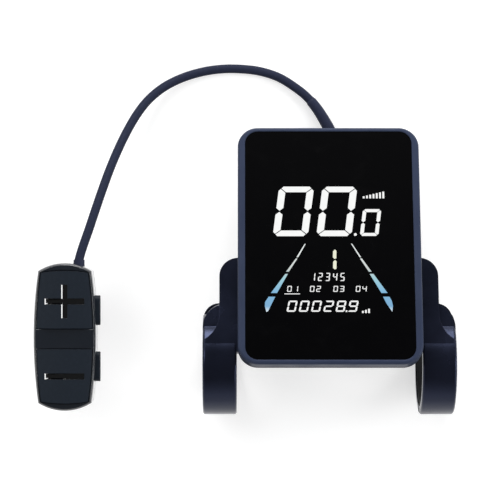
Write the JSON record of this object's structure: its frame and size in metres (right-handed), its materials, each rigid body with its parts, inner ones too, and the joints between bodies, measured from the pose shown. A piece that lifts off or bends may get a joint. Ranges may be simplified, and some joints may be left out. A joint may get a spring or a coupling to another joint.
{
  "type": "e-bike display",
  "caption": "E-bike display with hinged handlebar clamps, a glass-covered screen, and a wired keypad with plus and minus buttons on its own small bar clamp.",
  "frame": {"origin": "on the handlebar's axis, midway between the two display clamps", "axes": "+X along the handlebar to the display's right, +Y towards the display's upper edge, +Z out of the lying part, square to the clamps' split plane"},
  "size_m": [0.1668, 0.1421, 0.0509],
  "materials": {
    "bezel": "satin moulded",
    "rear_cover": "fine moulded texture",
    "glass": "gloss",
    "gasket": "matte",
    "screen": "gloss",
    "steel": "satin",
    "diffuser": "matte",
    "circuit_board": "solder mask",
    "component": "matte",
    "relief_rubber": "matte",
    "clamp": "satin moulded",
    "brass": "satin",
    "liner": "matte",
    "keypad_shell": "gloss",
    "button": "satin",
    "cord": "satin"
  },
  "bodies": {
    "root": {"front_bezel": "bezel", "cover_glass": "glass", "glass_gasket": "gasket", "lcd_panel": "screen", "lcd_frame": "steel", "backlight": "diffuser", "main_board": "circuit_board", "board_components": "component", "board_screws": "steel", "rear_cover": "rear_cover", "case_seal": "gasket", "case_screws": "steel", "cable_gland": "rear_cover", "gland_screws": "steel", "display_strain_relief": "relief_rubber", "main_lead_bushing": "relief_rubber", "left_arm": "clamp", "right_arm": "clamp", "arm_screws": "steel", "left_hinge_pin": "steel", "right_hinge_pin": "steel", "left_clamp_insert": "brass", "right_clamp_insert": "brass", "left_upper_liner": "liner", "right_upper_liner": "liner", "keypad_shell": "keypad_shell", "keypad_base": "clamp", "keypad_seal": "gasket", "keypad_screws": "steel", "keypad_board": "circuit_board", "tact_switches": "component", "button_membrane": "gasket", "keypad_hinge_pin": "steel", "keypad_clamp_insert": "brass", "keypad_upper_liner": "liner", "keypad_strain_relief": "relief_rubber", "cord": "cord"},
    "left_cap": {"left_clamp_cap": "clamp", "left_clamp_screw": "steel", "left_lower_liner": "liner"},
    "right_cap": {"right_clamp_cap": "clamp", "right_clamp_screw": "steel", "right_lower_liner": "liner"},
    "keypad_cap": {"keypad_clamp_cap": "clamp", "keypad_clamp_screw": "steel", "keypad_lower_liner": "liner"},
    "plus": {"plus_button": "button"},
    "minus": {"minus_button": "button"},
    "power": {"power_button": "button"},
    "mode": {"mode_button": "button"}
  },
  "joints": [
    {"name": "left_clamp_hinge", "type": "hinge", "parent": "root", "child": "left_cap", "pos_m": [-0.04335, -0.0185, 0], "axis": [-1, 0, 0], "range_deg": [0, 70]},
    {"name": "right_clamp_hinge", "type": "hinge", "parent": "root", "child": "right_cap", "pos_m": [0.04335, -0.0185, 0], "axis": [-1, 0, 0], "range_deg": [0, 70]},
    {"name": "keypad_clamp_hinge", "type": "hinge", "parent": "root", "child": "keypad_cap", "pos_m": [-0.1043, -0.0016, -0.0055], "axis": [-1, 0, 0], "range_deg": [0, 70]},
    {"name": "plus_press", "type": "slide", "parent": "root", "child": "plus", "axis": [0, 0, -1], "range_m": [0, 0.0008], "stiffness_N_per_m": 900},
    {"name": "minus_press", "type": "slide", "parent": "root", "child": "minus", "axis": [0, 0, -1], "range_m": [0, 0.0008], "stiffness_N_per_m": 900},
    {"name": "power_press", "type": "slide", "parent": "root", "child": "power", "axis": [-1, 0, 0], "range_m": [0, 0.0008], "stiffness_N_per_m": 900},
    {"name": "mode_press", "type": "slide", "parent": "root", "child": "mode", "axis": [-1, 0, 0], "range_m": [0, 0.0008], "stiffness_N_per_m": 900}
  ]
}
